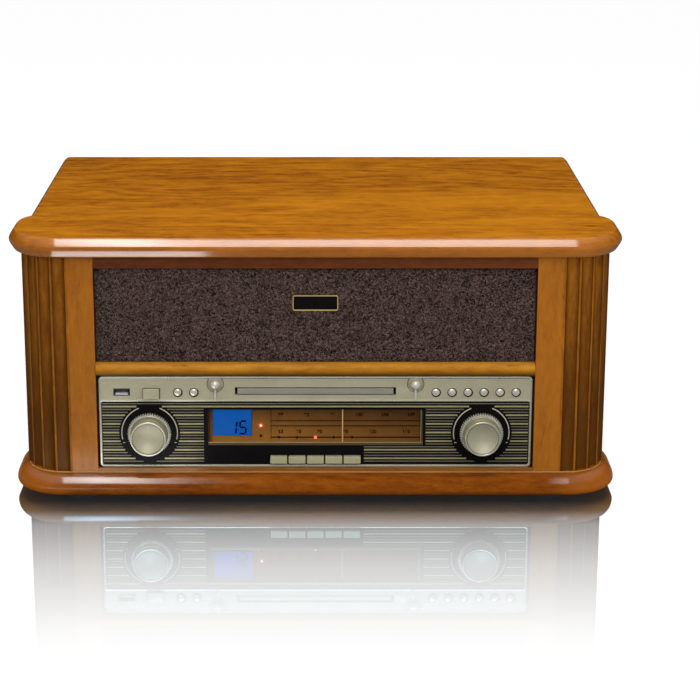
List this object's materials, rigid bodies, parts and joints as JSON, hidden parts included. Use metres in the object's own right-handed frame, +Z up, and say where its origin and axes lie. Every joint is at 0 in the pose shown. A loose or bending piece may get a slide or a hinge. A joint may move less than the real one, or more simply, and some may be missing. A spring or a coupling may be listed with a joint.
{
  "type": "stereo music centre",
  "caption": "Wooden-cased stereo music centre with a hinged lid over a record deck, a disc tray, a side cassette slot, a lit tuning dial and two round knobs.",
  "frame": {"origin": "on the surface it stands on, under the middle of the bounding box", "axes": "+Z up, +Y towards the back, so the control panel faces -Y, and +X to the right as seen from the front"},
  "size_m": [0.5, 0.3556, 0.222],
  "materials": {
    "oak_top": "satin lacquer over honey oak veneer, grain left to right",
    "oak_body": "satin lacquer",
    "oak_column": "satin lacquer, darker in the flutes",
    "oak_plinth": "gloss lacquer",
    "oak_bar": "gloss lacquer, yellow",
    "back_board": "raw fibreboard, stained dark",
    "foot_rubber": "matte",
    "zinc_steel": "zinc plated",
    "brass_hinge": "satin",
    "black_board": "matte black fibreboard",
    "grille_fabric": "coarse woven cloth, brown-black with grey flecks",
    "badge_brass": "satin border round a dark field",
    "speaker_steel": "black",
    "champagne_panel": "champagne metallic paint",
    "striped_plate": "black with printed champagne stripes",
    "clear_window": "clear acrylic",
    "amber_scale": "amber print",
    "orange_pointer": "gloss",
    "circuit_board": "solder mask",
    "champagne_knob": "champagne metallic",
    "bright_trim": "bright plated",
    "key_plastic": "champagne metallic paint",
    "socket_steel": "bright",
    "black_plastic": "fine texture",
    "grey_plastic": "moulded",
    "transformer_steel": "varnished laminations",
    "platter_metal": "turned",
    "mat_rubber": "ribbed",
    "belt_rubber": "matte",
    "arm_metal": "satin"
  },
  "bodies": {
    "root": {"plinth": "oak_plinth", "side_panels": "oak_body", "fluted_columns": "oak_column", "front_frame": "oak_body", "divider_bar": "oak_bar", "back_panel": "back_board", "feet": "foot_rubber", "cabinet_screws": "zinc_steel", "hinge_leaves": "brass_hinge", "stay_rail": "zinc_steel", "speaker_baffle": "black_board", "grille_cloth": "grille_fabric", "badge_plate": "badge_brass", "speaker_drivers": "speaker_steel", "fascia_bezel": "champagne_panel", "stripe_plate": "striped_plate", "dial_window": "clear_window", "dial_scale": "amber_scale", "display_board": "circuit_board", "trim_pins": "bright_trim", "usb_socket": "socket_steel", "jack_plate": "black_plastic", "cd_mechanism": "grey_plastic", "main_board": "circuit_board", "transformer": "transformer_steel", "turntable_deck": "black_plastic", "drive_belt": "belt_rubber", "motor": "zinc_steel", "tonearm_turret": "black_plastic", "cassette_mechanism": "grey_plastic"},
    "lid": {"lid_panel": "oak_top", "lid_leaves": "brass_hinge"},
    "lid_stay": {"lid_stay": "zinc_steel"},
    "platter": {"platter": "platter_metal", "slip_mat": "mat_rubber"},
    "motor_pulley": {"motor_pulley": "brass_hinge"},
    "tonearm_yoke": {"tonearm_yoke": "arm_metal"},
    "tonearm": {"tonearm": "arm_metal"},
    "cue_lever": {"cue_lever": "black_plastic"},
    "speed_selector": {"speed_selector": "black_plastic"},
    "volume_knob": {"volume_knob": "champagne_knob"},
    "tuning_knob": {"tuning_knob": "champagne_knob"},
    "dial_pointer": {"dial_pointer": "orange_pointer"},
    "power_button": {"power_button": "champagne_panel"},
    "cd_tray": {"cd_tray": "grey_plastic"},
    "cassette_flap": {"cassette_flap": "black_plastic"},
    "cassette_button": {"cassette_button": "black_plastic"},
    "mode_button": {"mode_button": "bright_trim"},
    "repeat_button": {"repeat_button": "bright_trim"},
    "open_button": {"open_button": "bright_trim"},
    "stop_button": {"stop_button": "bright_trim"},
    "play_button": {"play_button": "bright_trim"},
    "back_button": {"back_button": "bright_trim"},
    "forward_button": {"forward_button": "bright_trim"},
    "memory_button": {"memory_button": "bright_trim"},
    "am_key": {"am_key": "key_plastic"},
    "fm_key": {"fm_key": "key_plastic"},
    "disc_key": {"disc_key": "key_plastic"},
    "tape_key": {"tape_key": "key_plastic"},
    "phono_key": {"phono_key": "key_plastic"}
  },
  "joints": [
    {"name": "lid_hinge", "type": "hinge", "parent": "root", "child": "lid", "pos_m": [0, 0.1714, 0.206], "axis": [-1, 0, 0], "range_deg": [0, 60]},
    {"name": "stay_pivot", "type": "hinge", "parent": "lid", "child": "lid_stay", "pos_m": [0.209, 0.0914, 0.206], "axis": [-1, 0, 0], "range_deg": [-120, 0]},
    {"name": "platter_spin", "type": "hinge", "parent": "root", "child": "platter", "pos_m": [-0.05, 0.007, 0.18], "axis": [0, 0, 1], "continuous": true},
    {"name": "pulley_spin", "type": "hinge", "parent": "root", "child": "motor_pulley", "pos_m": [-0.11718, 0.07418, 0.18], "axis": [0, 0, 1], "continuous": true},
    {"name": "arm_swing", "type": "hinge", "parent": "root", "child": "tonearm_yoke", "pos_m": [0.135, 0.095, 0.189], "axis": [0, 0, -1], "range_deg": [0, 36]},
    {"name": "arm_lift", "type": "hinge", "parent": "tonearm_yoke", "child": "tonearm", "pos_m": [0.135, 0.095, 0.202], "axis": [-0.9668, 0.2554, 0], "range_deg": [0, 2.2]},
    {"name": "cue_lever_turn", "type": "hinge", "parent": "root", "child": "cue_lever", "pos_m": [0.166, 0.065, 0.186], "axis": [-1, 0, 0], "range_deg": [0, 60]},
    {"name": "speed_slide", "type": "slide", "parent": "root", "child": "speed_selector", "axis": [1, 0, 0], "range_m": [-0.008, 0.008]},
    {"name": "volume_turn", "type": "hinge", "parent": "root", "child": "volume_knob", "pos_m": [-0.1366, -0.165, 0.0552], "axis": [0, 1, 0], "range_deg": [-150, 150]},
    {"name": "tuning_turn", "type": "hinge", "parent": "root", "child": "tuning_knob", "pos_m": [0.1366, -0.165, 0.0552], "axis": [0, 1, 0], "range_deg": [-505, 560]},
    {"name": "pointer_slide", "type": "slide", "parent": "root", "child": "dial_pointer", "axis": [1, 0, 0], "range_m": [-0.0542, 0.0602]},
    {"name": "power_push", "type": "slide", "parent": "root", "child": "power_button", "axis": [0, 1, 0], "range_m": [0, 0.0025], "stiffness_N_per_m": 300},
    {"name": "mode_push", "type": "slide", "parent": "root", "child": "mode_button", "axis": [0, 1, 0], "range_m": [0, 0.0008], "stiffness_N_per_m": 600},
    {"name": "repeat_push", "type": "slide", "parent": "root", "child": "repeat_button", "axis": [0, 1, 0], "range_m": [0, 0.0008], "stiffness_N_per_m": 600},
    {"name": "open_push", "type": "slide", "parent": "root", "child": "open_button", "axis": [0, 1, 0], "range_m": [0, 0.0008], "stiffness_N_per_m": 600},
    {"name": "stop_push", "type": "slide", "parent": "root", "child": "stop_button", "axis": [0, 1, 0], "range_m": [0, 0.0008], "stiffness_N_per_m": 600},
    {"name": "play_push", "type": "slide", "parent": "root", "child": "play_button", "axis": [0, 1, 0], "range_m": [0, 0.0008], "stiffness_N_per_m": 600},
    {"name": "back_push", "type": "slide", "parent": "root", "child": "back_button", "axis": [0, 1, 0], "range_m": [0, 0.0008], "stiffness_N_per_m": 600},
    {"name": "forward_push", "type": "slide", "parent": "root", "child": "forward_button", "axis": [0, 1, 0], "range_m": [0, 0.0008], "stiffness_N_per_m": 600},
    {"name": "memory_push", "type": "slide", "parent": "root", "child": "memory_button", "axis": [0, 1, 0], "range_m": [0, 0.0008], "stiffness_N_per_m": 600},
    {"name": "am_key_push", "type": "slide", "parent": "root", "child": "am_key", "axis": [0, 1, 0], "range_m": [0, 0.003], "stiffness_N_per_m": 250},
    {"name": "fm_key_push", "type": "slide", "parent": "root", "child": "fm_key", "axis": [0, 1, 0], "range_m": [0, 0.003], "stiffness_N_per_m": 250},
    {"name": "disc_key_push", "type": "slide", "parent": "root", "child": "disc_key", "axis": [0, 1, 0], "range_m": [0, 0.003], "stiffness_N_per_m": 250},
    {"name": "tape_key_push", "type": "slide", "parent": "root", "child": "tape_key", "axis": [0, 1, 0], "range_m": [0, 0.003], "stiffness_N_per_m": 250},
    {"name": "phono_key_push", "type": "slide", "parent": "root", "child": "phono_key", "axis": [0, 1, 0], "range_m": [0, 0.003], "stiffness_N_per_m": 250},
    {"name": "tray_slide", "type": "slide", "parent": "root", "child": "cd_tray", "axis": [0, -1, 0], "range_m": [0, 0.128]},
    {"name": "flap_turn", "type": "hinge", "parent": "root", "child": "cassette_flap", "pos_m": [0.217, 0.04, 0.1213], "axis": [0, 1, 0], "range_deg": [0, 80], "stiffness_Nm_per_rad": 0.002},
    {"name": "eject_push", "type": "slide", "parent": "root", "child": "cassette_button", "axis": [-1, 0, 0], "range_m": [0, 0.003], "stiffness_N_per_m": 300}
  ],
  "couplings": [
    {"joint": "stay_pivot", "follows": "lid_hinge", "ratio": -2},
    {"joint": "pulley_spin", "follows": "platter_spin", "ratio": 12.727},
    {"joint": "arm_lift", "follows": "cue_lever_turn", "ratio": 0.036667},
    {"joint": "pointer_slide", "follows": "tuning_turn", "m_per_rad": 0.0061}
  ]
}
